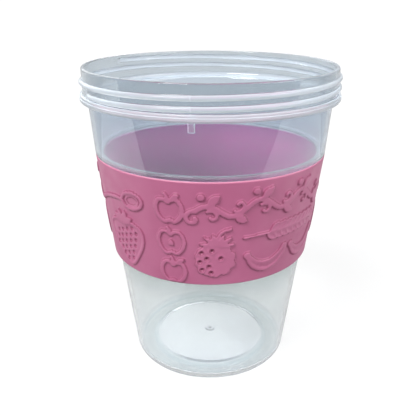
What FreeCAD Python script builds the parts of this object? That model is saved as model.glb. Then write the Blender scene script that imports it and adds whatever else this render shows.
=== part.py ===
import FreeCAD, Part
import math
import os

import Sketcher

# A reusable yogurt cup without its lid: a clear moulded cup with a wide neck for a screw lid, and a
# soft sleeve for the hand that sits round the wall, under a ledge. +Z is up. The origin is the
# centre of the foot, on the surface that the cup stands on.

# Driving dimensions, in millimetres and degrees.
SIZES = {
    "cup_height": 125.0,
    "rim_radius": 49.6,  # outside of the neck
    "wall": 1.5,
    "neck_height": 12.4,  # from the underside of the collar to the lip
    "neck_wall": 1.5,
    "neck_step": 1.65,  # how far the neck stands out from the wall below it
    "shoulder_rise": 2.2,  # height of the slope inside the foot of the neck
    "lip_round": 0.6,
    "collar_height": 2.7,
    "collar_reach": 1.25,  # beyond the neck
    "collar_round": 0.9,
    "upper_height": 20.6,  # the wall between the collar and the ledge
    "upper_draft": 4.2,  # slope of that wall
    "lower_draft": 6.9,  # slope of the wall from the ledge down to the foot
    "ledge_round": 0.4,
    "foot_width": 7.4,  # the ring that the cup stands on
    "foot_round": 2.7,
    "floor": 2.0,
    "inner_round": 1.8,  # inside corner between the floor and the wall
    "punt_rise": 1.2,  # how far the middle of the floor is raised
    "punt_run": 2.4,  # width of the slope round that middle
    "gate_radius": 1.9,  # stub of the mould's gate, at the middle of the floor
    "gate_height": 0.8,
    "lug_azimuth": 262.8,
    "lug_angle": 3.0,  # width of the lug, seen from the axis
    "lug_drop": 3.2,  # how far the lug hangs below the collar
    "lug_reach": 1.2,
    "sleeve_height": 41.9,
    "sleeve_thickness": 1.65,
    "sleeve_fit": 0.1,  # clearance inside the sleeve and above it
    "sleeve_round": 0.45,
}

doc = FreeCAD.newDocument("yogurt_cup")


def fill_sheet():
    """Puts the driving dimensions into the spreadsheet that every feature reads."""
    sheet = doc.addObject("Spreadsheet::Sheet", "sizes")
    for row, (name, value) in enumerate(SIZES.items(), start=1):
        sheet.set(f"A{row}", name)
        sheet.set(f"B{row}", str(value))
        sheet.setAlias(f"B{row}", name)
    doc.recompute()


def size(name):
    """That cell, as an expression."""
    return f"sizes.{name}"


# Heights and radii that follow from the driving dimensions, as expressions.
collar_bottom = f"({size('cup_height')} - {size('neck_height')})"
collar_top = f"({collar_bottom} + {size('collar_height')})"
ledge = f"({collar_bottom} - {size('upper_height')})"
inner_ledge = f"({ledge} + {size('wall')})"
disc_top = f"({size('floor')} + {size('punt_rise')})"
sleeve_top = f"({ledge} - {size('sleeve_fit')})"
sleeve_bottom = f"({sleeve_top} - {size('sleeve_height')})"
sleeve_seat = f"({size('sleeve_fit')} + {size('sleeve_thickness')})"


def upper_radius(height):
    """Outside of the wall between the ledge and the collar, at a height."""
    fall = f"({collar_bottom} - {height}) * tan({size('upper_draft')})"
    return f"({size('rim_radius')} - {size('neck_step')} - {fall})"


def lower_radius(height):
    """Outside of the wall below the ledge, one cone down to the foot, at a height."""
    fall = f"({ledge} - {height}) * tan({size('lower_draft')})"
    return f"({upper_radius(ledge)} - {sleeve_seat} - {fall})"


def origin_plane(body, role):
    return next(item for item in body.Origin.OriginFeatures if item.Role == role)


def section(body, name, corners, azimuth=None):
    """A closed outline in a half plane through Z, from expressions for each corner's radius and height."""
    sketch = body.newObject("Sketcher::SketchObject", name)
    sketch.AttachmentSupport = (origin_plane(body, "XZ_Plane"), "")
    sketch.MapMode = "FlatFace"
    if azimuth:
        up = FreeCAD.Vector(0, 1, 0)
        sketch.AttachmentOffset = FreeCAD.Placement(FreeCAD.Vector(), FreeCAD.Rotation(up, 1))
        sketch.setExpression(".AttachmentOffset.Rotation.Angle", azimuth)
    count = len(corners)
    turns = [2 * math.pi * index / count for index in range(count)]
    starts = [FreeCAD.Vector(2 + math.cos(turn), 2 + math.sin(turn), 0) for turn in turns]
    for index in range(count):
        sketch.addGeometry(Part.LineSegment(starts[index], starts[(index + 1) % count]), False)
    for index in range(count):
        sketch.addConstraint(Sketcher.Constraint("Coincident", index, 2, (index + 1) % count, 1))
    for index, (radius, height) in enumerate(corners):
        hold_corner(sketch, index, "DistanceX", radius, starts[index].x, -2)
        hold_corner(sketch, index, "DistanceY", height, starts[index].y, -1)
    return sketch


def hold_corner(sketch, index, direction, expression, start, axis):
    """Keeps a corner at a distance from the origin, or on the sketch's own axis where that is 0."""
    if expression == "0":
        sketch.addConstraint(Sketcher.Constraint("PointOnObject", index, 1, axis))
        return
    name = f"corner{index}_{direction}"
    number = sketch.addConstraint(Sketcher.Constraint(direction, -1, 1, index, 1, start))
    sketch.renameConstraint(number, name)
    sketch.setExpression(f"Constraints.{name}", expression)


def revolve(body, name, sketch, angle=None):
    """Turns a section all the way about Z, or by an angle that lies half to each side of it."""
    feature = body.newObject("PartDesign::Revolution", name)
    feature.Profile = sketch
    feature.ReferenceAxis = (sketch, ["V_Axis"])
    feature.Angle = 360
    if angle:
        feature.Midplane = True
        feature.setExpression("Angle", angle)
    doc.recompute()
    return feature


def is_ring(edge, corner):
    """Whether an edge is the full circle that a corner of the section makes."""
    if edge.Curve.TypeId != "Part::GeomCircle":
        return False
    tolerance = 1e-4
    same_radius = abs(edge.Curve.Radius - corner.x) < tolerance
    return same_radius and abs(edge.Curve.Center.z - corner.y) < tolerance


def round_corners(body, name, sketch, indexes, radius):
    """Rounds the edges that those corners of the section make, by the radius in one cell."""
    base = body.Tip
    edges = list(enumerate(base.Shape.Edges, start=1))
    rings = []
    for index in indexes:
        corner = sketch.getPoint(index, 1)
        found = [f"Edge{number}" for number, edge in edges if is_ring(edge, corner)]
        if len(found) != 1:
            raise ValueError(f"{name}: corner {index} makes {len(found)} edges")
        rings += found
    feature = body.newObject("PartDesign::Fillet", name)
    feature.Base = (base, rings)
    feature.setExpression("Radius", size(radius))
    doc.recompute()


def make_cup():
    """One moulding: floor, two-slope wall with its ledge, shoulder, collar and neck."""
    body = doc.addObject("PartDesign::Body", "cup")
    body.Label = "cup"
    wall = size("wall")
    ring = f"({lower_radius('0')} - {size('foot_width')})"
    disc = f"({ring} - {size('punt_run')})"
    neck_outside = size("rim_radius")
    neck_inside = f"({neck_outside} - {size('neck_wall')})"
    collar_outside = f"({neck_outside} + {size('collar_reach')})"
    outside = [
        ("0", size("punt_rise")),
        (disc, size("punt_rise")),
        (ring, "0"),
        (lower_radius("0"), "0"),
        (lower_radius(ledge), ledge),
        (upper_radius(ledge), ledge),
        (upper_radius(collar_bottom), collar_bottom),
        (collar_outside, collar_bottom),
        (collar_outside, collar_top),
        (neck_outside, collar_top),
        (neck_outside, size("cup_height")),
    ]
    inside = [
        (neck_inside, size("cup_height")),
        (neck_inside, f"{collar_bottom} + {size('shoulder_rise')}"),
        (f"{upper_radius(collar_bottom)} - {wall}", collar_bottom),
        (f"{upper_radius(inner_ledge)} - {wall}", inner_ledge),
        (f"{lower_radius(inner_ledge)} - {wall}", inner_ledge),
        (f"{lower_radius(size('floor'))} - {wall}", size("floor")),
        (ring, size("floor")),
        (disc, disc_top),
        ("0", disc_top),
    ]
    profile = section(body, "wall_section", outside + inside)
    revolve(body, "wall_turned", profile)
    round_corners(body, "foot_rounded", profile, [3], "foot_round")
    round_corners(body, "floor_rounded", profile, [16], "inner_round")
    round_corners(body, "collar_rounded", profile, [7, 8], "collar_round")
    round_corners(body, "lip_rounded", profile, [10, 11], "lip_round")
    round_corners(body, "ledge_rounded", profile, [5, 14, 15], "ledge_round")
    add_gate(body)
    add_lug(body)
    return body


def add_gate(body):
    """The tapered stub on the middle of the floor."""
    top = f"{disc_top} + {size('gate_height')}"
    profile = section(
        body,
        "gate_section",
        [
            ("0", size("floor")),
            (size("gate_radius"), size("floor")),
            (f"{size('gate_radius')} / 2", top),
            ("0", top),
        ],
    )
    revolve(body, "gate", profile)


def add_lug(body):
    """The short upright lug under the collar. Its inner side lies within the wall and the collar."""
    foot = f"({collar_bottom} - {size('lug_drop')})"
    head = f"({collar_bottom} + {size('collar_height')} / 2)"
    reach = size("lug_reach")
    profile = section(
        body,
        "lug_section",
        [
            (f"{upper_radius(foot)} - {size('wall')} / 2", foot),
            (f"{upper_radius(foot)} + {reach}", foot),
            (f"{upper_radius(collar_bottom)} + {reach}", head),
            (upper_radius(collar_bottom), head),
        ],
        azimuth=size("lug_azimuth"),
    )
    revolve(body, "lug", profile, angle=size("lug_angle"))


def make_sleeve():
    """A plain band on the same slope as the wall inside it, which it clears by the fit."""
    body = doc.addObject("PartDesign::Body", "sleeve")
    body.Label = "sleeve"
    corners = [
        (f"{lower_radius(height)} + {side}", height)
        for height, side in (
            (sleeve_bottom, size("sleeve_fit")),
            (sleeve_bottom, sleeve_seat),
            (sleeve_top, sleeve_seat),
            (sleeve_top, size("sleeve_fit")),
        )
    ]
    profile = section(body, "band_section", corners)
    revolve(body, "band_turned", profile)
    round_corners(body, "band_rounded", profile, [1, 2], "sleeve_round")
    return body


def check(pieces):
    """Stops if a feature failed or a piece isn't one valid solid."""
    for item in doc.Objects:
        if {"Invalid", "Error"} & set(item.State):
            raise RuntimeError(f"{item.Name} failed: {item.State}")
    for piece in pieces:
        shape = piece.Shape
        if shape.isNull() or not shape.isValid() or len(shape.Solids) != 1:
            raise RuntimeError(f"{piece.Label} is not one valid solid")
        print(f"{piece.Label}: {shape.Volume / 1000:.1f} cubic centimetres")


fill_sheet()
pieces = [make_cup(), make_sleeve()]
doc.recompute()
check(pieces)
os.makedirs("parts", exist_ok=True)
for piece in pieces:
    piece.Shape.exportStep(f"parts/{piece.Label}.step")
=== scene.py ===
import math

import bpy
import numpy as np
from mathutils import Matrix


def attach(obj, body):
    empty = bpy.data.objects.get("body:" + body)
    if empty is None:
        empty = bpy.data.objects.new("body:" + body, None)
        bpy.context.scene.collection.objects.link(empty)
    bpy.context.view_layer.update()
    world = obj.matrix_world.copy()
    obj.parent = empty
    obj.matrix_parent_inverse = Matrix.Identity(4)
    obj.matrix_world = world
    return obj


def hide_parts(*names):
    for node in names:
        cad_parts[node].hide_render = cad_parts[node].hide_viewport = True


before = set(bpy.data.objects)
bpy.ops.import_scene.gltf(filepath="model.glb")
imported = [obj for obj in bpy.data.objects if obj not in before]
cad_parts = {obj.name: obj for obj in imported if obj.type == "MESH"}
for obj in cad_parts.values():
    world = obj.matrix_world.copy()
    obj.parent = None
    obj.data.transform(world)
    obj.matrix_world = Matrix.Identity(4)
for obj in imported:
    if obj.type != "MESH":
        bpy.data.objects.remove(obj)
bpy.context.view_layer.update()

mm = 0.001
tiny = 1e-12
print("frame loaded:", sorted(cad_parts))


# A closed or open smooth line through a few points: each span is the cubic whose slopes at its two
# ends are half the chord between that end's neighbours.
def smoothLine(points, closed=False, perSpan=8):
    given = np.array(points, float)
    if closed:
        padded = np.vstack([given[-1:], given, given[:2]])
    else:
        padded = np.vstack([2 * given[0] - given[1], given, 2 * given[-1] - given[-2]])
    before, start, end, after = padded[:-3, None], padded[1:-2, None], padded[2:-1, None], padded[3:, None]
    t = np.linspace(0, 1, perSpan, endpoint=False)[None, :, None]
    spans = 0.5 * (
        2 * start
        + (end - before) * t
        + (2 * before - 5 * start + 4 * end - after) * t**2
        + (3 * start - before - 3 * end + after) * t**3
    )
    line = spans.reshape(-1, 2)
    return np.vstack([line, line[:1] if closed else given[-1:]])


# An ellipse: centre plus radii times cosine and sine, turned.
def ovalLine(centre, radii, turn=0.0, count=40):
    angle = np.linspace(0, 2 * math.pi, count)
    return turned(np.stack([radii[0] * np.cos(angle), radii[1] * np.sin(angle)], 1), turn) + centre


# A spiral whose radius shrinks evenly with its angle.
def curlLine(centre, radius, start, sweep, left=0.25, count=36):
    angle = start + np.linspace(0, sweep, count)
    reach = radius * np.linspace(1, left, count)
    return np.stack([reach * np.cos(angle), reach * np.sin(angle)], 1) + centre


# A leaf: two mirrored sides, as wide as a sine of the way along its length.
def leafLine(base, length, width, turn, count=14, droop=0.0):
    way = np.linspace(0, 1, count)
    side = 0.5 * width * np.sin(math.pi * way) ** 0.9
    bend = droop * length * way**2
    upper = np.stack([length * way, side + bend], 1)
    lower = np.stack([length * way, bend - side], 1)[::-1]
    return turned(np.vstack([upper, lower]), turn) + base


# Points turned about the origin.
def turned(points, angle):
    cosine, sine = math.cos(angle), math.sin(angle)
    return points @ np.array([[cosine, sine], [-sine, cosine]])


# From each place, the way to the nearest point of a line of straight pieces, as its length and as
# the step from that point out to the place.
def wayFrom(x, y, line):
    start, step = line[:-1], line[1:] - line[:-1]
    length = np.maximum((step**2).sum(1), tiny)
    dx, dy = x[:, None] - start[None, :, 0], y[:, None] - start[None, :, 1]
    along = np.clip((dx * step[:, 0] + dy * step[:, 1]) / length, 0, 1)
    dx, dy = dx - along * step[:, 0], dy - along * step[:, 1]
    nearest = (dx**2 + dy**2).argmin(1)[:, None]
    out = np.hstack([np.take_along_axis(dx, nearest, 1), np.take_along_axis(dy, nearest, 1)])
    return np.hypot(out[:, 0], out[:, 1]), out


# True inside a closed line: a ray to the right crosses it an odd number of times.
def insideOf(x, y, line):
    x1, y1 = line[:-1, 0], line[:-1, 1]
    x2, y2 = line[1:, 0], line[1:, 1]
    above = (y1 > y[:, None]) != (y2 > y[:, None])
    rise = np.where(np.abs(y2 - y1) < tiny, tiny, y2 - y1)
    crossing = x1 + (y[:, None] - y1) * (x2 - x1) / rise
    return (above & (x[:, None] < crossing)).sum(1) % 2 == 1


# 0 up to low and 1 from high on, with t * t * (3 - 2 * t) between them.
def smoothStep(low, high, value):
    t = np.clip((value - low) / (high - low), 0, 1)
    return t * t * (3 - 2 * t)


ornament = {
    "stroke": 0.95,  # half the width of a raised line, in millimetres
    "fine": 0.6,  # the same of a thin one
    "lift": 0.62,  # how far lines stand out
    "edge": 0.30,  # run of their sides
    "crown": 0.12,  # share by which a line is lower at its sides than along its middle
    "plate": 0.28,  # how far filled shapes stand out
    "dimple": 0.8,  # how far dimples go in
    "dimpleEdge": (0.3, -0.35),  # start and end of a dimple's side, from its radius
    "leastSkin": 0.45,  # how far below the plain band a dimple may go
    "crispFrom": 0.6,  # share of the lift from which a mark's sides are kept crisp
    "reach": 1.2,  # how far round a mark places are looked at
}


# The four kinds of mark: each is its kind, its line, its half width and how far it stands out.
def stroke(line, width=1.0, lift=1.0):
    return ("stroke", line, ornament["stroke"] * width, ornament["lift"] * lift)


def fineStroke(line, lift=0.85):
    return ("stroke", line, ornament["fine"], ornament["lift"] * lift)


def plate(line, lift=1.0):
    return ("plate", line, 0.0, ornament["plate"] * lift)


def dimple(x, y, radius):
    return ("dimple", np.array([[x, y]]), radius, ornament["dimple"])


# A heart-shaped body with rows of seeds, four leaves and a stalk.
def strawberryMarks():
    body = smoothLine(
        [(0.6, -12), (6.2, -7), (10.2, -0.5), (10.2, 5), (5.8, 7.6), (0, 6.6), (-5.8, 7.6),
         (-10.4, 5), (-10, -0.5), (-5.4, -7.4)],
        closed=True,
    )
    marks = [stroke(body, 0.75), plate(body)]
    topRow, rowStep, seedStep, slant, seedRadius = 4.0, 2.7, 3.3, 0.28, 0.62
    for row, (count, shift) in enumerate([(4, 0.0), (5, 0.3), (5, -0.5), (4, 0.1), (3, -0.2), (2, 0.4)]):
        for place in range(count):
            across = (place - (count - 1) / 2) * seedStep + shift
            marks.append(dimple(across, topRow - rowStep * row + slant * across, seedRadius))
    for angle, length in ((2.62, 6.6), (2.0, 6.2), (1.2, 6.2), (0.55, 6.8)):
        marks.append(plate(leafLine((0, 7.0), length, 3.2, angle, droop=-0.12), 2.5))
    marks.append(stroke(smoothLine([(0, 7.2), (0.3, 10), (1.8, 12)]), 0.7))
    return marks


# A round body whose radius adds ten lobes, each half a sine wave, to a circle. Some of its beads
# are rings round a dimple. It has six leaves and a stalk.
def raspberryMarks():
    angle = np.linspace(0, 2 * math.pi, 145)
    reach = 6.9 + 0.95 * np.abs(np.sin(angle * 5)) ** 0.8
    body = np.stack([reach * np.cos(angle), 0.94 * reach * np.sin(angle)], 1)
    marks = [plate(body, 2.2)]
    ringed = [
        (-5.1, 3.3), (-1.3, 4.2), (-3.2, 0.9), (-5.7, -0.6),
        (-2.4, -2.5), (-5.0, -3.9), (-1.6, -5.2), (1.9, 1.0),
    ]
    for x, y in ringed:
        marks.append(fineStroke(ovalLine((x, y), (1.15, 1.15), count=20), 1.25))
        marks.append(dimple(x, y, 0.7))
    for angle, length in ((2.9, 6.6), (2.35, 6.4), (1.8, 5.4), (1.0, 5.4), (0.5, 6.4), (0.0, 6.6)):
        marks.append(plate(leafLine((0.6, 6.0), length, 2.0, angle, droop=0.12), 2.6))
    marks.append(stroke(smoothLine([(0.6, 6.8), (1.0, 9.8), (2.6, 12), (5.2, 12.8)]), 0.7))
    return marks


# The outline of a round orchard fruit with a dip at its top and a smaller one at its foot.
def pomeOutline(size):
    return size * smoothLine(
        [(0, -0.86), (0.42, -0.98), (0.86, -0.52), (1.0, 0.12), (0.74, 0.74), (0.3, 0.82), (0, 0.62),
         (-0.3, 0.82), (-0.74, 0.74), (-1.0, 0.12), (-0.86, -0.52), (-0.42, -0.98)],
        closed=True,
    )


# The fruit's outline with a short stalk and one leaf.
def pomeMarks():
    return [
        stroke(pomeOutline(5.0)),
        stroke(smoothLine([(0, 3.2), (-0.1, 5.0), (-0.8, 6.4)]), 0.75),
        plate(leafLine((1.3, 5.0), 3.6, 2.1, 0.3), 2.5),
    ]


# The same fruit cut in half, with two seeds.
def halfPomeMarks():
    marks = [stroke(pomeOutline(5.2), 0.85)]
    for side in (-1, 1):
        marks.append(plate(leafLine((0.75 * side, -1.9), 3.0, 1.5, math.pi / 2 + 0.3 * side), 2.3))
    marks.append(stroke(smoothLine([(0, 3.2), (-0.3, 5.0), (-1.2, 6.2)]), 0.8))
    return marks


# A long shoot: its height is a slow arch plus a wave. At every bend there are a curl and a leaf, and
# at the upper ones a berry too.
def vineMarks():
    x = np.linspace(0, 56, 150)
    height = 2.0 * np.sin(math.pi * x / 62) + 2.5 * np.sin(2 * math.pi * x / 18.7 + 0.4)
    marks = [stroke(np.stack([x, height], 1), 1.15)]

    def at(place):
        return np.array([place, np.interp(place, x, height)])

    marks.append(stroke(curlLine(at(0) + (-0.9, -3.0), 3.1, 1.3, 5.2), 0.95))
    for place, side, lean, length in (
        (3.5, 1, 0.8, 6.2),
        (12.8, -1, 0.5, 5.6),
        (22.2, 1, 0.8, 6.2),
        (31.5, -1, 0.5, 5.6),
        (40.9, 1, 0.8, 6.2),
        (50.2, -1, 0.7, 6.2),
    ):
        centre = at(place) + (2.0, side * -4.1)
        marks.append(stroke(curlLine(centre, 2.5, side * 2.2, side * -4.6), 0.75))
        marks.append(plate(leafLine(at(place + 0.4), length, 3.3, side * lean), 2.5))
        if side > 0:
            marks.append(plate(ovalLine(at(place) + (-1.6, 3.3), (1.4, 1.4), count=20), 2.4))
    return marks


# An ear of grain on its side: pairs of pointed seeds that lean away from a straight stalk.
def grainMarks():
    marks = [stroke(smoothLine([(-4, -0.8), (6, -0.2), (18, 0.2), (30, 0)]), 0.6)]
    for place in range(8):
        for side in (-1, 1):
            base = (6.4 + 3.1 * place + 0.8 * side, side * 0.55)
            seed = leafLine(base, 5.0, 2.5, side * 0.55)
            marks.append(stroke(seed, 0.45))
            marks.append(plate(seed, 1.6))
    tip = leafLine((30.6, 0), 5.4, 2.4, 0.0)
    return marks + [stroke(tip, 0.45), plate(tip, 1.6)]


# A crescent between two arcs, closed by a stub at each end, with one ridge along it.
def bananaMarks():
    outline = smoothLine(
        [(-8.6, 2.4), (-9.4, 3.6), (-8.2, 4.2), (-7.2, 2.4), (-3.6, -0.2), (1.6, -0.7), (6.2, 1.8),
         (8.4, 4.6), (9.4, 4.0), (8.6, 1.0), (5.0, -2.9), (-0.6, -4.2), (-5.8, -2.0)],
        closed=True,
    )
    ridge = smoothLine([(-7.0, 1.2), (-4.2, -1.2), (0.8, -2.3), (5.2, -0.6), (7.6, 2.4)])
    return [stroke(outline, 0.95), fineStroke(ridge, 0.7), plate(outline, 0.9)]


# A bowl of two ovals, one inside the other, and a slightly bent handle that ends in a filled oval.
def spoonMarks():
    middle, radii, inner = (8.6, 0), np.array([5.4, 3.5]), 0.62
    handle = smoothLine([(3.2, 0), (-2, 0.9), (-9, 0.6), (-14.5, -0.6)])
    end = ovalLine((-15.2, -0.8), (1.7, 1.3), 0.2, 20)
    return [
        stroke(ovalLine(middle, radii), 0.85),
        fineStroke(ovalLine(middle, inner * radii), 0.4),
        stroke(handle),
        plate(end, 2.6),
    ]


# A slice of citrus: two circles and the walls between its eight parts.
def citrusMarks():
    marks = [stroke(ovalLine((0, 0), (8.6, 8.6), count=60), 0.8)]
    marks.append(fineStroke(ovalLine((0, 0), (6.9, 6.9), count=50)))
    for part in range(8):
        angle = 2 * math.pi * (part + 0.5) / 8
        ray = np.array([math.cos(angle), math.sin(angle)])
        marks.append(fineStroke(np.stack([1.2 * ray, 6.6 * ray]), 0.75))
    return marks


# Two filled ovals on stalks that meet at a knot with a leaf.
def cherryMarks():
    left, right = ovalLine((-4.6, -4), (3.9, 3.8)), ovalLine((4.2, -5.4), (3.9, 3.8))
    knot = (1.6, 8.4)
    return [
        stroke(left, 0.8),
        plate(left),
        stroke(right, 0.8),
        plate(right),
        stroke(smoothLine([(-4.2, -0.6), (-2.2, 4.6), knot]), 0.6),
        stroke(smoothLine([(4.0, -2.0), (3.8, 3.6), knot]), 0.6),
        stroke(leafLine(knot, 7.4, 3.8, -0.25), 0.55),
    ]


# Each figure: what it is, where its middle lies round the cup in degrees, its height above the
# table, its turn and its scale. The same set stands twice round the sleeve, with a pair in each gap.
figures = [
    (spoonMarks, 221, 79.8, 0.16, 0.92),
    (strawberryMarks, 223, 64.0, 0.06, 0.92),
    (pomeMarks, 251.5, 81.0, 0.04, 0.95),
    (halfPomeMarks, 251.5, 68.0, 0.0, 0.95),
    (pomeMarks, 251.5, 55.4, -0.06, 0.95),
    (vineMarks, 263.5, 80.2, 0.0, 1.0),
    (raspberryMarks, 272.6, 61.0, 0.0, 1.0),
    (grainMarks, 291, 70.4, 0.0, 0.95),
    (bananaMarks, 299, 58.6, 0.0, 0.95),
    (bananaMarks, 326, 59.4, 0.1, 0.95),
]
gapFigures = [(citrusMarks, 0.5, 62.5, 0.2, 0.95), (cherryMarks, 3, 79.5, 0.0, 0.78)]

sleeve = {
    "top": 91.9,
    "bottom": 50.0,
    "topInside": 44.787,
    "bottomInside": 39.72,
    "thickness": 1.65,
    "round": 0.45,  # rounding of its outer corners
    "innerRound": 0.15,
    "columns": 808,
    "outerRows": 97,  # between its rounded corners
    "edgeRows": 4,  # on each of them
    "figureRadius": 43.9,  # turns degrees round the sleeve into lengths of its ornament
    "snap": 0.19,  # how far a place may move to meet the side of a mark
    "plainEdge": 0.54,  # width of the bands at its edges that have no ornament
    "waviness": 0.07,
    "waves": [(3, 0.6, 1.0), (7, 2.0, 0.6)],  # how many round the sleeve, phase and share
    "twist": (0.21, 5, 0.5),  # of a wave that also runs up: by height, how many round, and share
    "waveFade": 4.0,  # width of the bands over which the waves die out
    "lowEdgeTilt": 0.2,
    "backSag": 1.2,  # how far its top edge has slipped down at the back
}


# Every mark of every figure on both halves of the sleeve, with the places that lie near it, in the
# figure's own plane.
def eachMark(azimuth, height):
    halves = [(half, figure) for half in (0, 180) for figure in figures + gapFigures]
    for half, (make, middle, level, turn, scale) in halves:
        across = ((azimuth - middle - half + 180) % 360 - 180) * math.radians(1) * sleeve["figureRadius"]
        local = turned(np.stack([across, height - level], 1), -turn) / scale
        for kind, line, width, lift in make():
            margin = width + ornament["reach"]
            near = ((local > line.min(0) - margin) & (local < line.max(0) + margin)).all(1)
            if near.any():
                yield kind, line, width, lift, near, local[near, 0], local[near, 1], turn, scale


# Height of the ornament above the plain band: lines and filled shapes keep the highest, with a
# steep side and a slightly crowned top, and dimples go down from there. With it comes how far a
# place is on top: 1 on a figure, 0 beside it and down to -1 at the bottom of a dimple.
def reliefAt(azimuth, height):
    raised, sunk, onTop, hollow = (np.zeros_like(azimuth) for _ in range(4))
    side = ornament["edge"] / 2
    dimpleStart, dimpleEnd = ornament["dimpleEdge"]
    for kind, line, width, lift, near, x, y, _, _ in eachMark(azimuth, height):
        if kind == "dimple":
            away = np.hypot(x - line[0, 0], y - line[0, 1])
            share = smoothStep(width + dimpleStart, width + dimpleEnd, away)
            sunk[near] = np.maximum(sunk[near], lift * share)
            hollow[near] = np.maximum(hollow[near], share)
            continue
        away, _ = wayFrom(x, y, line)
        if kind == "plate":
            away, crown = np.where(insideOf(x, y, line), -away, away), 1
        else:
            crown = 1 - ornament["crown"] * np.clip(away / width, 0, 1) ** 2
        share = smoothStep(width + side, width - side, away)
        raised[near] = np.maximum(raised[near], lift * crown * share)
        onTop[near] = np.maximum(onTop[near], share)
    return raised - np.minimum(sunk, raised + ornament["leastSkin"]), onTop - 2 * hollow


# How far to move each place so that it meets the foot or the top of a raised line's side, where
# one is nearer than half a step of the grid. This keeps the sides crisp.
def stepToSide(azimuth, height, reach):
    nearest = np.full(azimuth.shape, np.inf)
    push = np.zeros((len(azimuth), 2))
    for kind, line, width, lift, near, x, y, turn, scale in eachMark(azimuth, height):
        if kind == "dimple" or lift < ornament["crispFrom"] * ornament["lift"]:
            continue
        away, out = wayFrom(x, y, line)
        outward = np.where(insideOf(x, y, line), -1, 1) if kind == "plate" else np.ones(len(x))
        beyond = (away * outward - width) * scale
        better = beyond < nearest[near]
        where = np.flatnonzero(near)[better]
        nearest[where] = beyond[better]
        unit = (out * outward[:, None])[better] / np.maximum(away[better], tiny)[:, None]
        target = np.where(beyond[better] < 0, -1, 1) * ornament["edge"] / 2 * scale
        push[where] = turned(unit, turn) * (target - beyond[better])[:, None]
    push[np.abs(nearest) > reach] = 0
    return push[:, 0] / (math.radians(1) * sleeve["figureRadius"]), push[:, 1]


# Four-sided faces of a grid whose rows are rings round Z. Where it is looped, its last row is also
# joined to its first.
def ringFaces(rows, columns, looped):
    index = np.arange(rows * columns).reshape(rows, columns)
    beside = np.roll(index, -1, 1)
    if looped:
        above, aboveBeside = np.roll(index, -1, 0), np.roll(beside, -1, 0)
    else:
        above, aboveBeside = index[1:], beside[1:]
        index, beside = index[:-1], beside[:-1]
    return np.stack([index, beside, aboveBeside, above], -1).reshape(-1, 4)


# A mesh from a grid of points in millimetres. Two poles, if given, close its first and last rings.
def makePiece(name, points, looped, poles=None):
    rows, columns, _ = points.shape
    places = points.reshape(-1, 3)
    faces = ringFaces(rows, columns, looped).tolist()
    if poles is not None:
        places = np.vstack([places, poles])
        ring = np.arange(columns)
        beside = np.roll(ring, -1)
        low, high = rows * columns, rows * columns + 1
        last = (rows - 1) * columns
        faces += np.stack([beside, ring, np.full(columns, low)], 1).tolist()
        faces += np.stack([last + ring, last + beside, np.full(columns, high)], 1).tolist()
    mesh = bpy.data.meshes.new(name)
    mesh.from_pydata((places * mm).tolist(), [], faces)
    mesh.polygons.foreach_set("use_smooth", np.ones(len(mesh.polygons), bool))
    mesh.update()
    piece = bpy.data.objects.new(name, mesh)
    bpy.context.scene.collection.objects.link(piece)
    print(f"{name}: {len(mesh.polygons)} faces")
    return piece


# A profile through corners, each (radius, height, rounding, spacing of the rows after it): straight
# runs, and at each rounded corner an arc that is tangent to both runs.
def profileThrough(corners, arcRows=5, longStep=0.4, nearEnd=0.12):
    places = np.array([corner[:2] for corner in corners], float)
    rounds = [corner[2] for corner in corners]
    lines, arcs = [], []
    for number, place in enumerate(places):
        if rounds[number] == 0:
            arcs.append(place[None])
            continue
        back = places[number - 1] - place
        ahead = places[number + 1] - place
        back, ahead = back / np.linalg.norm(back), ahead / np.linalg.norm(ahead)
        half = 0.5 * math.acos(float(np.clip(back @ ahead, -1, 1)))
        middle = (back + ahead) / np.linalg.norm(back + ahead)
        centre = place + middle * rounds[number] / math.sin(half)
        first = place + back * rounds[number] / math.tan(half) - centre
        last = place + ahead * rounds[number] / math.tan(half) - centre
        sweep = math.pi - 2 * half
        way = np.linspace(0, 1, arcRows)[:, None]
        arc = (np.sin((1 - way) * sweep) * first + np.sin(way * sweep) * last) / math.sin(sweep)
        arcs.append(centre + arc)
    for number, arc in enumerate(arcs[:-1]):
        run = arcs[number + 1][0] - arc[-1]
        length = np.linalg.norm(run)
        steps = max(1, math.ceil(length / corners[number][3]))
        ways = np.linspace(0, 1, steps + 1)[1:-1]
        if length / steps > longStep:  # a row near each end keeps the shading of long runs straight
            ways = np.concatenate([[nearEnd / length], ways, [1 - nearEnd / length]])
        lines += [arc, arc[-1] + run * ways[:, None]]
    return np.vstack(lines + arcs[-1:])


# Millimetres and degrees.
cup = {
    "height": 125.0,
    "rim": 49.6,  # radius of the neck
    "wall": 1.5,
    "neckWall": 1.5,
    "shoulder": 47.95,  # radius under the collar
    "upperDraft": 4.2,  # slope of the wall above the ledge
    "lowerDraft": 6.9,
    "collarBottom": 112.6,
    "collarTop": 115.3,
    "collarReach": 1.25,
    "collarLine": 114.25,  # height of a fine step round the collar
    "collarStep": 0.28,  # depth of that step
    "shoulderRise": 2.2,  # how far above the collar's bottom the inside reaches its full width
    "ledge": 92.0,  # height of the ledge over the sleeve
    "recess": 44.687,  # radius just under the ledge
    "footRound": 2.7,
    "ring": 26.16,  # inner radius of the ring that it stands on
    "disc": 23.76,  # radius of the floor's raised disc
    "rise": 1.2,  # how far the disc is raised
    "floor": 2.0,
    "lip": 0.6,  # rounding of the lip
    # Corners of the gate's stub: radius, height above the floor and rounding.
    "gate": [(2.3, 0, 0.2), (1.9, 0.45, 0.2), (1.2, 0.4, 0.2), (0.75, 0.1, 0.2), (0.5, 0.8, 0.15)],
    "pole": (0.6, 0.2),  # radius of the smallest ring, under and on the floor
    "columns": 300,
    "leastGap": 0.2,  # between an even column and a close one
}
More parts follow.
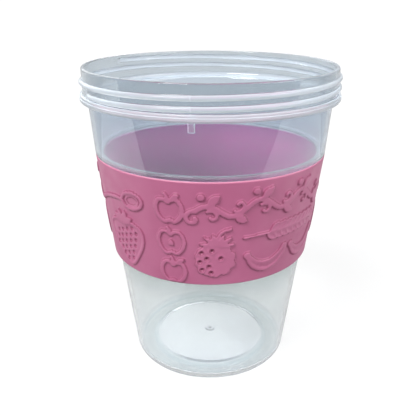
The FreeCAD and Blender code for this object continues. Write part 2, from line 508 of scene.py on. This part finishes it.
screw = {
    "start": 204.0,  # degrees round the neck
    "low": 116.27,  # height of its middle there
    "lowest": 116.45,
    "lead": 3.55,  # climb in one turn
    "sweep": 665.0,  # degrees from its start to its end
    "halfWidth": 0.98,
    "reach": 1.1,
    "taper": 11.0,  # degrees over which it ends
    "snap": 0.12,  # how far a row may move to meet its foot
}
lug = {
    "azimuth": 262.8,
    "halfAngle": 1.25,  # degrees
    "side": 0.24,  # half the run of its sides, in degrees
    "bottom": 109.1,
    "bottomSide": 0.2,
    "bottomRows": 0.4,  # how far above and below its bottom the rows are close
    "reach": 0.8,
    "columns": [-2.2, -1, 1, 2.2],  # places across each side, in half runs of it
}
seam = {"reach": 0.14, "halfAngle": 0.3, "columns": [-0.35, -0.17, 0.0, 0.17, 0.35]}  # the parting line


# Even columns, with closer ones at the lug's sides and at the parting line on both sides of the cup.
def cupColumns():
    even = np.linspace(0, 360, cup["columns"], endpoint=False)
    edge = lug["halfAngle"] + lug["side"] * np.array(lug["columns"])
    near = lug["azimuth"] + np.concatenate([-edge, edge, seam["columns"]])
    opposite = lug["azimuth"] - 180 + np.array(seam["columns"])
    close = np.concatenate([near, opposite])
    apart = np.abs(even[:, None] - close).min(1) > cup["leastGap"]
    return np.unique(np.concatenate([even[apart], close]))


# Radius of the outer wall: two straight slopes, one above and one below the ledge.
def wallRadius(height, above):
    if above:
        return cup["shoulder"] - (cup["collarBottom"] - height) * math.tan(math.radians(cup["upperDraft"]))
    return cup["recess"] - (cup["ledge"] - height) * math.tan(math.radians(cup["lowerDraft"]))


# From under the floor, round the foot and up the wall, the collar and the neck to the lip's middle.
def outsideProfile():
    c = cup
    neck = c["rim"]
    crest = neck + c["collarReach"]
    step = crest - c["collarStep"]
    lugStart, lugEnd = lug["bottom"] - lug["bottomRows"], lug["bottom"] + lug["bottomRows"]
    return profileThrough([
        (c["pole"][0], c["rise"], 0, 6.0),
        (c["disc"], c["rise"], 1.0, 0.8),
        (c["ring"], 0.0, 1.0, 2.0),
        (wallRadius(0, False), 0.0, c["footRound"], 6.0),
        (c["recess"], c["ledge"], 0.25, 0.5),
        (wallRadius(c["ledge"], True), c["ledge"], 0.4, 2.4),
        (wallRadius(lugStart, True), lugStart, 0, 0.1),
        (wallRadius(lugEnd, True), lugEnd, 0, 0.9),
        (c["shoulder"], c["collarBottom"], 0.3, 0.6),
        (crest, c["collarBottom"], 0.9, 0.4),
        (crest, c["collarLine"], 0.12, 0.3),
        (step, c["collarLine"] + 0.1, 0.1, 0.3),
        (step, c["collarTop"], 0.45, 0.3),
        (neck, c["collarTop"], 0.2, 0.14),
        (neck, c["height"], c["lip"], 0.3),
        (neck - c["neckWall"] / 2, c["height"], 0, 0.3),
    ])


# From the lip's middle down the inside to the stub of the mould's gate on the floor.
def insideProfile():
    c = cup
    inside = c["rim"] - c["neckWall"]
    innerLedge = c["ledge"] + c["wall"]
    discTop = c["floor"] + c["rise"]
    gate = [(radius, discTop + height, rounding, 0.3) for radius, height, rounding in c["gate"]]
    return profileThrough([
        (inside + c["neckWall"] / 2 - 0.02, c["height"], 0, 0.3),  # a hair from the outside's end
        (inside, c["height"], c["lip"], 1.2),
        (inside, c["collarBottom"] + c["shoulderRise"], 1.2, 0.8),
        (c["shoulder"] - c["wall"], c["collarBottom"], 1.2, 2.4),
        (wallRadius(innerLedge, True) - c["wall"], innerLedge, 0.3, 0.5),
        (wallRadius(innerLedge, False) - c["wall"], innerLedge, 0.4, 6.0),
        (wallRadius(c["floor"], False) - c["wall"], c["floor"], 1.8, 2.0),
        (c["ring"], c["floor"], 0.6, 0.8),
        (c["disc"], discTop, 0.6, 4.0),
        *gate,
        (c["pole"][1], gate[-1][1], 0, 0.3),
    ])


# True on the outside of the neck, between the collar and the lip.
def onNeckOf(height, outside):
    return outside & (height > cup["collarTop"]) & (height < cup["height"] - cup["lip"])


# Two turns of one screw. Its middle climbs evenly with the angle, and its bead stands out by a half
# ellipse across its width. On each column, the row nearest each foot of the bead is moved onto it.
def cutScrew(radius, height, azimuth, outside):
    onNeck = onNeckOf(height, outside)
    level = np.where(onNeck, height, np.inf)
    columns = np.arange(azimuth.shape[1])
    for turn in (0, 360):
        way = (azimuth[0] - screw["start"]) % 360 + turn
        middle = np.maximum(screw["low"] + screw["lead"] * way / 360, screw["lowest"])
        left = screw["sweep"] - way
        ends = smoothStep(0, screw["taper"], way) * smoothStep(0, screw["taper"], left)
        for side in (-screw["halfWidth"], screw["halfWidth"]):
            foot = middle + side
            row = np.abs(level - foot).argmin(0)
            near = (np.abs(level[row, columns] - foot) < screw["snap"]) & (ends > 0)
            height[row[near], columns[near]] = foot[near]
        across = (height - middle) / screw["halfWidth"]
        radius = radius + onNeck * ends * screw["reach"] * np.sqrt(np.clip(1 - across**2, 0, 1))
    return radius, height


# The lug is a block on the wall whose sides are smooth steps of the angle and of the height.
def addLug(radius, height, azimuth, outside):
    off = np.abs((azimuth - lug["azimuth"] + 180) % 360 - 180)
    across = smoothStep(lug["halfAngle"] + lug["side"], lug["halfAngle"] - lug["side"], off)
    upward = smoothStep(lug["bottom"] - lug["bottomSide"], lug["bottom"] + lug["bottomSide"], height)
    belowCollar = height < cup["collarBottom"] - lug["bottomSide"]
    return radius + outside * belowCollar * across * upward * lug["reach"]


# The parting line is a thin ridge up the neck, at the lug and opposite it.
def addSeam(radius, height, azimuth, outside):
    off = np.abs((azimuth - lug["azimuth"] + 90) % 180 - 90)
    ridge = np.maximum(0, 1 - off / seam["halfAngle"])
    return radius + onNeckOf(height, outside) * ridge * seam["reach"]


# A grid of radii, heights and angles from a profile, with one column for each angle.
def turnedGrid(profile, azimuth):
    radius = np.repeat(profile[:, :1], len(azimuth), 1)
    height = np.repeat(profile[:, 1:], len(azimuth), 1)
    return radius, height, np.repeat(azimuth[None], len(profile), 0)


# Places from the radius times the turn's cosine and sine, and the height.
def placesOf(radius, height, turn):
    return np.stack([radius * np.cos(turn), radius * np.sin(turn), height], -1)


# The whole moulding: its profile turned about Z, with the screw, the lug and the parting line.
def makeCup():
    outer, inner = outsideProfile(), insideProfile()
    radius, height, azimuth = turnedGrid(np.vstack([outer, inner]), cupColumns())
    outside = np.zeros(radius.shape, bool)
    outside[: len(outer)] = True
    radius, height = cutScrew(radius, height, azimuth, outside)
    radius = addLug(radius, height, azimuth, outside)
    radius = addSeam(radius, height, azimuth, outside)
    poles = [[0, 0, cup["rise"]], [0, 0, inner[-1, 1]]]
    return makePiece("moulded_cup", placesOf(radius, height, np.radians(azimuth)), looped=False, poles=poles)


# A sum of slow waves round the sleeve, one of which also runs up it, that fades towards its edges.
def unevenness(height, turn):
    s = sleeve
    perHeight, around, twistShare = s["twist"]
    wave = twistShare * np.sin(height * perHeight + around * turn)
    for count, phase, share in s["waves"]:
        wave += share * np.sin(count * turn + phase)
    fromEdge = np.minimum(height - s["bottom"], s["top"] - height)
    return s["waviness"] * smoothStep(0, s["waveFade"], fromEdge) * wave


# One section carried round Z: up the outside, over the top, down the inside and back under. The
# ornament pushes the outside outward. The lower edge tilts by a cosine of the turn, and the upper
# one sags by a squared half sine that is greatest at the back.
def makeSleeve():
    s = sleeve
    top, bottom = np.array([s["topInside"], s["top"]]), np.array([s["bottomInside"], s["bottom"]])
    thick = np.array([s["thickness"], 0])
    outer = profileThrough([
        (*(bottom + thick * 0.5), 0, 0.3),
        (*(bottom + thick), s["round"], (s["top"] - s["bottom"]) / s["outerRows"]),
        (*(top + thick), s["round"], 0.3),
        (*(top + thick * 0.5), 0, 0.3),
    ], s["edgeRows"])
    inner = profileThrough([
        (*(top + thick * 0.35), 0, 0.4),
        (*top, s["innerRound"], 14.0),
        (*bottom, s["innerRound"], 0.4),
        (*(bottom + thick * 0.35), 0, 0.4),
    ], 3)
    azimuth = np.linspace(0, 360, s["columns"], endpoint=False)
    radius, height, around = turnedGrid(np.vstack([outer, inner]), azimuth)
    flat = np.zeros(radius.shape, bool)
    flat[: len(outer)] = True
    flat &= (height > s["bottom"] + s["plainEdge"]) & (height < s["top"] - s["plainEdge"])
    aside, upward = stepToSide(around[flat], height[flat], s["snap"])
    around[flat] += aside
    height[flat] += upward
    radius[flat] += upward * (top[0] - bottom[0]) / (top[1] - bottom[1])
    turn = np.radians(around)
    relief, onTop = np.zeros(radius.shape), np.zeros(radius.shape)
    relief[flat], onTop[flat] = reliefAt(around[flat], height[flat])
    radius = radius + relief + flat * unevenness(height, turn)
    hang = (s["top"] - height) / (s["top"] - s["bottom"])
    sag = s["backSag"] * (0.5 + 0.5 * np.sin(turn)) ** 2 * (1 - hang)
    height = height + s["lowEdgeTilt"] * hang * np.cos(turn) - sag
    piece = makePiece("silicone_sleeve", placesOf(radius, height, turn), looped=True)
    layer = piece.data.attributes.new("onTop", "FLOAT", "POINT")
    layer.data.foreach_set("value", onTop.ravel())
    return piece


class Wire:
    # One output of a node. Arithmetic on it adds Math nodes.
    def __init__(self, socket):
        self.socket = socket

    def math(self, operation, other=None, swapped=False):
        tree = self.socket.id_data
        node = tree.nodes.new("ShaderNodeMath")
        node.operation = operation
        terms = (other, self) if swapped else (self, other)
        for slot, term in zip(node.inputs, terms):
            if isinstance(term, Wire):
                tree.links.new(term.socket, slot)
            elif term is not None:
                slot.default_value = term
        return Wire(node.outputs[0])

    def __add__(self, other):
        return self.math("ADD", other)

    def __mul__(self, other):
        return self.math("MULTIPLY", other)

    def __sub__(self, other):
        return self.math("SUBTRACT", other)

    def __rsub__(self, other):
        return self.math("SUBTRACT", other, swapped=True)

    def __truediv__(self, other):
        return self.math("DIVIDE", other)

    def __gt__(self, other):
        return self.math("GREATER_THAN", other)

    def __or__(self, other):
        return self.math("MAXIMUM", other)

    __radd__ = __add__
    __rmul__ = __mul__


class Board:
    # The nodes of one material or world. Every node but Math comes from node(), which takes its kind,
    # the settings made first, values or wires for its sockets, and the output that is wanted.
    def __init__(self, holder):
        holder.use_nodes = True
        self.tree = holder.node_tree
        self.tree.nodes.clear()

    def node(self, kind, settings=None, values=None, output=0):
        node = self.tree.nodes.new(kind)
        for name, value in (settings or {}).items():
            if name == "stops":
                self.setStops(node.color_ramp.elements, value)
            else:
                setattr(node, name, value)
        for name, value in (values or {}).items():
            if isinstance(value, Wire):
                self.tree.links.new(value.socket, node.inputs[name])
            else:
                node.inputs[name].default_value = value
        return Wire(node.outputs[output]) if node.outputs else node

    def setStops(self, elements, stops):
        while len(elements) < len(stops):
            elements.new(0.5)
        for element, (place, _) in zip(elements, stops):
            element.position = place
        for element, (_, tone) in zip(elements, stops):
            element.color = colour(tone)

    def place(self):
        return self.node("ShaderNodeTexCoord", output="Object")

    # The place as three separate wires, and its distance from Z.
    def axes(self):
        place = self.place()
        x, y, z = [self.node("ShaderNodeSeparateXYZ", values={0: place}, output=axis) for axis in "XYZ"]
        return x, y, z, (x * x + y * y).math("SQRT")

    def noise(self, scale, detail=2.0, rough=0.5):
        values = {"Vector": self.place(), "Scale": scale, "Detail": detail, "Roughness": rough}
        return self.node("ShaderNodeTexNoise", values=values)

    # 0 up to low and 1 from high on, with a smooth step between them.
    def step(self, value, low, high):
        settings = {"interpolation_type": "SMOOTHSTEP", "clamp": True}
        return self.node("ShaderNodeMapRange", settings, {"Value": value, "From Min": low, "From Max": high})

    # 1 from low to high and 0 outside them, without any step between.
    def between(self, value, low, high):
        return (value > low) * (1 - (value > high))

    def blend(self, share, first, second):
        settings = {"data_type": "RGBA", "blend_type": "MIX"}
        values = {0: share, 6: colour(first), 7: colour(second)}
        return self.node("ShaderNodeMix", settings, values, output=2)

    # A colour that runs through stops of (value, colour).
    def ramp(self, value, stops):
        low, high = stops[0][0], stops[-1][0]
        stops = [((place - low) / (high - low), tone) for place, tone in stops]
        share = (value - low) / (high - low)
        return self.node("ShaderNodeValToRGB", {"stops": stops}, {0: share}, output="Color")

    def lightPath(self, ray):
        return self.node("ShaderNodeLightPath", output="Is " + ray + " Ray")

    # 1 for rays that see the surroundings themselves or through clear plastic or as a reflection.
    def seen(self):
        return self.lightPath("Camera") | self.lightPath("Glossy") | self.lightPath("Transmission")

    def mixShader(self, share, first, second):
        return self.node("ShaderNodeMixShader", values={0: share, 1: first, 2: second})

    def bump(self, height, strength, distance):
        values = {"Height": height, "Strength": strength, "Distance": distance}
        return self.node("ShaderNodeBump", values=values)

    def output(self, surface, kind="Material"):
        self.node("ShaderNodeOutput" + kind, values={"Surface": surface})


def colour(value):
    return value if isinstance(value, Wire) else (*value, 1.0)


clear = {
    # Tint at heights in metres: foot, below the sleeve, at its lower edge, behind it, above the
    # ledge, under the collar, neck. The stop at the sleeve's lower edge is painted shade of the sleeve's
    # shadow, and the blue-grey stops from above the ledge up are partly the plastic's own tint and partly
    # painted grey-blue surroundings seen through the wall.
    "tintsAndPaintedLight": [
        (0.004, (0.84, 0.86, 0.87)),
        (0.036, (0.80, 0.825, 0.82)),
        # painted shade: the sleeve's shadow seen through the wall
        (0.0495, (0.58, 0.62, 0.615)),
        (0.056, (0.76, 0.78, 0.78)),
        (0.085, (0.76, 0.78, 0.78)),
        # partly the plastic's own tint and partly painted grey-blue surroundings seen through the wall
        (0.097, (0.53, 0.592, 0.662)),
        (0.112, (0.53, 0.592, 0.66)),
        (0.115, (0.50, 0.55, 0.58)),
    ],
    "proud": (0.84, 0.87, 0.91),  # of the beads and collar, which are thicker; lighter than the neck, as a painted highlight
    "moat": (0.60, 0.675, 0.68),  # of the ring round the floor's raised disc
    "milk": (0.69, 0.74, 0.80),
    "shadow": (0.82, 0.84, 0.86),
    "transmission": 0.95,
    "ior": 1.47,
    "specular": 0.45,
    "roughness": 0.03,
    "milkRoughness": 0.35,
    # Share of the milky finish: everywhere, and what each place adds.
    "haze": 0.006,
    "neckHaze": 0.045,
    "proudHaze": 0.40,
    "lugHaze": 0.16,
    "lugSideHaze": 0.5,
    "floorHaze": 0.08,
    "ledgeHaze": 0.2,
    "seamHaze": 0.1,
    "slantHaze": 0.08,
    "slant": 0.35,
    # Where those places begin and end, in metres: radii, heights, or lengths out from the wall.
    "proudFrom": (0.04975, 0.05005),
    "neckFrom": (0.113, 0.116),
    "floorTo": (0.0034, 0.0046),
    "moatFrom": (0.0236, 0.0246),
    "moatTo": (0.0315, 0.0335),
    "ledgeHeights": (0.0931, 0.0937),
    "lugHeights": (0.1085, 0.1126),
    "lugFrom": (0.0001, 0.0002),
    "lugTopFrom": (0.0006, 0.00075),
    "seamHeights": (0.1156, 0.1242),
    "seamTo": (0.00008, 0.00022),
    # Soft clouds in the haze and the roughness: scale, detail, where they begin and end, how much.
    "clouds": (28.0, 3.0),
    "hazeClouds": (0.4, 0.8),
    "hazeInClouds": 0.012,
    "roughClouds": (0.45, 0.75),
    "roughInClouds": 0.02,
    # Slow unevenness of the face: scale and detail of its noise, and strength and depth of the bump.
    "drag": (45.0, 1.0),
    "dragBump": (0.006, 0.0003),
}


# Glass whose tint runs through the stops of its height, mixed with a milky finish. The stops hold
# painted shade at the sleeve's lower edge and painted surroundings from the ledge up, and the beads
# and collar take a lighter tint as a painted highlight. The milky share is a sum: a little everywhere,
# more on the neck, the beads, the parting line, the lug, the ledge and the floor, more where the face
# is seen at a slant, and more in soft clouds of noise.
def clearPlastic():
    c = clear
    material = bpy.data.materials.new("clear_plastic")
    f = Board(material)
    x, y, z, out = f.axes()
    proud = f.step(out, *c["proudFrom"])
    neck = f.step(z, *c["neckFrom"])
    floor = 1 - f.step(z, *c["floorTo"])
    moat = floor * f.step(out, *c["moatFrom"]) * (1 - f.step(out, *c["moatTo"]))
    ledge = f.between(z, *c["ledgeHeights"])
    wall = z * math.tan(math.radians(cup["upperDraft"])) + wallRadius(0, True) * mm
    fromWall = (out - wall) * f.between(z, *c["lugHeights"])
    onLug = f.step(fromWall, *c["lugFrom"])
    onLugSide = onLug * (1 - f.step(fromWall, *c["lugTopFrom"]))
    towardSeam = math.radians(lug["azimuth"])
    fromSeam = (x * math.sin(towardSeam) - y * math.cos(towardSeam)).math("ABSOLUTE")
    onSeam = (1 - f.step(fromSeam, *c["seamTo"])) * f.between(z, *c["seamHeights"])
    cloud = f.noise(*c["clouds"])
    slant = f.node("ShaderNodeLayerWeight", values={"Blend": c["slant"]}, output="Facing")
    haze = c["haze"] + c["neckHaze"] * neck + c["proudHaze"] * proud + c["seamHaze"] * onSeam
    haze = haze + c["lugHaze"] * onLug + c["lugSideHaze"] * onLugSide + c["ledgeHaze"] * ledge
    haze = haze + c["floorHaze"] * floor + c["slantHaze"] * slant
    haze = haze + c["hazeInClouds"] * f.step(cloud, *c["hazeClouds"])
    # the lighter tint of the beads and collar is a painted highlight
    tint = f.blend(proud, f.ramp(z, c["tintsAndPaintedLight"]), c["proud"])
    normal = f.bump(f.noise(*c["drag"]), *c["dragBump"])
    glass = f.node("ShaderNodeBsdfPrincipled", values={
        "Base Color": f.blend(moat, tint, c["moat"]),
        "Roughness": c["roughness"] + c["roughInClouds"] * f.step(cloud, *c["roughClouds"]),
        "IOR": c["ior"],
        "Specular IOR Level": c["specular"],
        "Transmission Weight": c["transmission"],
        "Normal": normal,
    })
    milk = f.node("ShaderNodeBsdfPrincipled", values={
        "Base Color": colour(c["milk"]),
        "Roughness": c["milkRoughness"],
        "IOR": c["ior"],
        "Specular IOR Level": c["specular"],
        "Normal": normal,
    })
    lampsPass = f.node("ShaderNodeBsdfTransparent", values={"Color": colour(c["shadow"])})
    f.output(f.mixShader(f.lightPath("Shadow"), f.mixShader(haze, glass, milk), lampsPass))
    return material


silicone = {
    "colour": (0.425, 0.110, 0.222),
    "pale": (0.51, 0.162, 0.29),
    "side": (0.26, 0.048, 0.115),  # painted shade on the sides and in the dimples of the ornament
    "paintedShadeShare": 0.9,
    "topShare": 0.15,  # how much of the pale pink the tops of the ornament take
    "inner": (0.66, 0.095, 0.37),  # the face against the cup, brighter and more purple than the outside: painted light for the tinted light through the cup
    "innerPaintedShade": (0.285, 0.004, 0.15),  # the same near its lower edge, darker there as painted shade
    "innerHeights": (0.052, 0.088),  # where it begins and ends to change, in metres
    # paler pink of the top edge, a painted highlight where light from above falls on it
    "rim": (0.53, 0.18, 0.28),
    "paintedHighlightRimFrom": (0.0914, 0.0918),
    "roughness": 0.46,
    # Noise, each by its scale and detail, where its patches begin and end, and how much they add.
    "clouds": (60.0, 3.0),
    "paleClouds": (0.3, 0.75),
    "paleInClouds": 0.35,
    "patches": (180.0, 3.0),
    "roughPatches": (0.35, 0.7),
    "roughInPatches": 0.12,
    "grain": (2600.0, 2.0),
    "grainBump": (0.12, 0.0001),  # strength and depth
}


# Two pinks mixed by soft clouds of noise, a little paler on top of the ornament. Painted shade makes
# the ornament's sides darker by four times t * (1 - t), where t is how far a place is on top, and its
# dimples darker by their depth. The inner face is a purple, brighter than the outside as painted
# light, that darkens downward by a smooth step of the height as painted shade, and the top edge takes
# a paler pink as a painted highlight.
def softSilicone():
    c, s = silicone, sleeve
    material = bpy.data.materials.new("silicone")
    f = Board(material)
    _, _, z, out = f.axes()
    onTop = f.node("ShaderNodeAttribute", {"attribute_name": "onTop"}, output="Fac")
    pale = f.step(f.noise(*c["clouds"]), *c["paleClouds"]) * c["paleInClouds"] + onTop * c["topShare"]
    # painted shade on the ornament's sides and in its dimples
    paintedSideShade = onTop * (1 - onTop) * 4.0 | onTop * -1.0
    tint = f.blend(paintedSideShade * c["paintedShadeShare"], f.blend(pale, c["colour"], c["pale"]), c["side"])
    slope = (s["topInside"] - s["bottomInside"]) / (s["top"] - s["bottom"])
    wallMiddle = z * slope + (s["bottomInside"] - s["bottom"] * slope + s["thickness"] / 2) * mm
    # painted light and shade of the inner face: a brighter purple that darkens downward
    inner = f.blend(f.step(z, *c["innerHeights"]), c["innerPaintedShade"], c["inner"])
    tint = f.blend(1 - (out - wallMiddle > 0.0), tint, inner)
    patch = f.step(f.noise(*c["patches"]), *c["roughPatches"])
    # the paler top edge is a painted highlight
    f.output(f.node("ShaderNodeBsdfPrincipled", values={
        "Base Color": f.blend(f.step(z, *c["paintedHighlightRimFrom"]), tint, c["rim"]),
        "Roughness": c["roughness"] + c["roughInPatches"] * patch,
        "Normal": f.bump(f.noise(*c["grain"]), *c["grainBump"]),
    }))
    return material


studio = {
    "white": 1.04,
    "fill": 0.5,
    "mirrored": 0.55,  # how bright the surroundings are as reflections
    "floorShine": 0.5,  # share of the floor's look that stays white, so that its shadow is light
    "floorWhite": 1.62,
    "floorColour": (0.32, 0.32, 0.32, 1),
    # Each lamp: degrees round and above the cup, degrees across, and how much it adds on a face
    # turned to it, where 1 shows a colour as it is written.
    "key": (228, 46, 28, 1.05),
    "side": (335, 30, 50, 0.6),
    "back": (125, 35, 60, 0.35),
    # Low panels that only show as reflections: left, near, right and far edge on the floor, in
    # metres, and brightness at the near edge, from where they fade.
    "leftCard": (-1.20, -0.122, -0.155, 0.16, 1.8),
    "rightCard": (0.14, -0.160, 1.20, 0.18, 1.45),
    "cardStrips": 8,
    "cardEnd": 0.35,  # brightness at the far edge
    "cardHeight": 0.004,
    "floorReach": 40.0,  # metres, past the horizon's edge of the view
}


# A white glow mixed with a grey matt face. The glow only shows to rays that see the floor, and is
# weaker as a reflection.
def paleFloor():
    material = bpy.data.materials.new("pale_floor")
    f = Board(material)
    lit = f.node("ShaderNodeBsdfDiffuse", values={"Color": studio["floorColour"]})
    white = studio["floorWhite"] * (1 - (1 - studio["mirrored"]) * f.lightPath("Reflection"))
    shine = f.node("ShaderNodeEmission", values={"Color": (1, 1, 1, 1), "Strength": white})
    f.output(f.mixShader(f.seen() * studio["floorShine"], lit, shine))
    return material


# An even white all round, weaker as light than where it is seen, and weaker as a reflection.
def addWorld():
    world = bpy.data.worlds.new("studio")
    bpy.context.scene.world = world
    f = Board(world)
    level = f.seen() * (studio["white"] - studio["fill"]) + studio["fill"]
    level = level * (1 - (1 - studio["mirrored"]) * f.lightPath("Reflection"))
    f.output(f.node("ShaderNodeBackground", values={"Color": (1, 1, 1, 1), "Strength": level}), "World")


# A distant lamp aimed at the cup. Its energy is pi times the level, since a matt face sends out a
# share of 1 / pi of what falls on it in each direction.
def addLamp(name):
    around, above, across, level = studio[name]
    lamp = bpy.data.lights.new(name, "SUN")
    lamp.angle = math.radians(across)
    lamp.energy = level * math.pi
    holder = bpy.data.objects.new(name, lamp)
    holder.rotation_euler = (math.radians(90 - above), 0, math.radians(around + 90))
    holder.visible_camera = False
    bpy.context.scene.collection.objects.link(holder)


# A row of flat panels that look up from just above the floor, each a little less bright.
def addCard(name):
    left, near, right, far, bright = studio[name]
    strips = studio["cardStrips"]
    deep = (far - near) / strips
    for strip in range(strips):
        level = bright + (studio["cardEnd"] - bright) * strip / strips
        panel = bpy.data.lights.new(name, "AREA")
        panel.shape = "RECTANGLE"
        panel.size, panel.size_y = right - left, deep
        panel.energy = level * math.pi * panel.size * panel.size_y
        holder = bpy.data.objects.new(f"{name}{strip}", panel)
        holder.location = ((left + right) / 2, near + deep * (strip + 0.5), studio["cardHeight"])
        holder.rotation_euler = (math.pi, 0, 0)
        for ray in ("camera", "diffuse", "transmission", "volume_scatter"):
            setattr(holder, "visible_" + ray, False)
        bpy.context.scene.collection.objects.link(holder)


# One square at height 0.
def addFloor():
    reach = studio["floorReach"]
    corners = [(-reach, -reach, 0), (reach, -reach, 0), (reach, reach, 0), (-reach, reach, 0)]
    mesh = bpy.data.meshes.new("floor")
    mesh.from_pydata(corners, [], [(0, 1, 2, 3)])
    floor = bpy.data.objects.new("floor", mesh)
    floor.data.materials.append(paleFloor())
    bpy.context.scene.collection.objects.link(floor)


view = {
    "back": 0.21439,  # metres in front of the cup's axis
    "up": 0.15075,
    "down": 22.0,  # degrees below the horizon
    "left": 0.243,
    "lens": 46.27,
    "clipStart": 0.01,
}


def addCamera():
    lens = bpy.data.cameras.new("camera")
    lens.lens = view["lens"]
    lens.clip_start = view["clipStart"]
    camera = bpy.data.objects.new("camera", lens)
    camera.location = (0, -view["back"], view["up"])
    camera.rotation_euler = (math.radians(90 - view["down"]), 0, math.radians(view["left"]))
    bpy.context.scene.collection.objects.link(camera)
    bpy.context.scene.camera = camera


cupPiece = makeCup()
cupPiece.data.materials.append(clearPlastic())
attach(cupPiece, "root")
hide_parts("cup")

sleevePiece = makeSleeve()
sleevePiece.data.materials.append(softSilicone())
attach(sleevePiece, "root")
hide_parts("sleeve")
print("pieces dressed:", cupPiece.name, sleevePiece.name)

addFloor()
addWorld()
addLamp("key")
addLamp("side")
addLamp("back")
addCard("leftCard")
addCard("rightCard")
print("studio lit")
addCamera()
bpy.context.scene.view_settings.view_transform = "Standard"
print("camera in place")
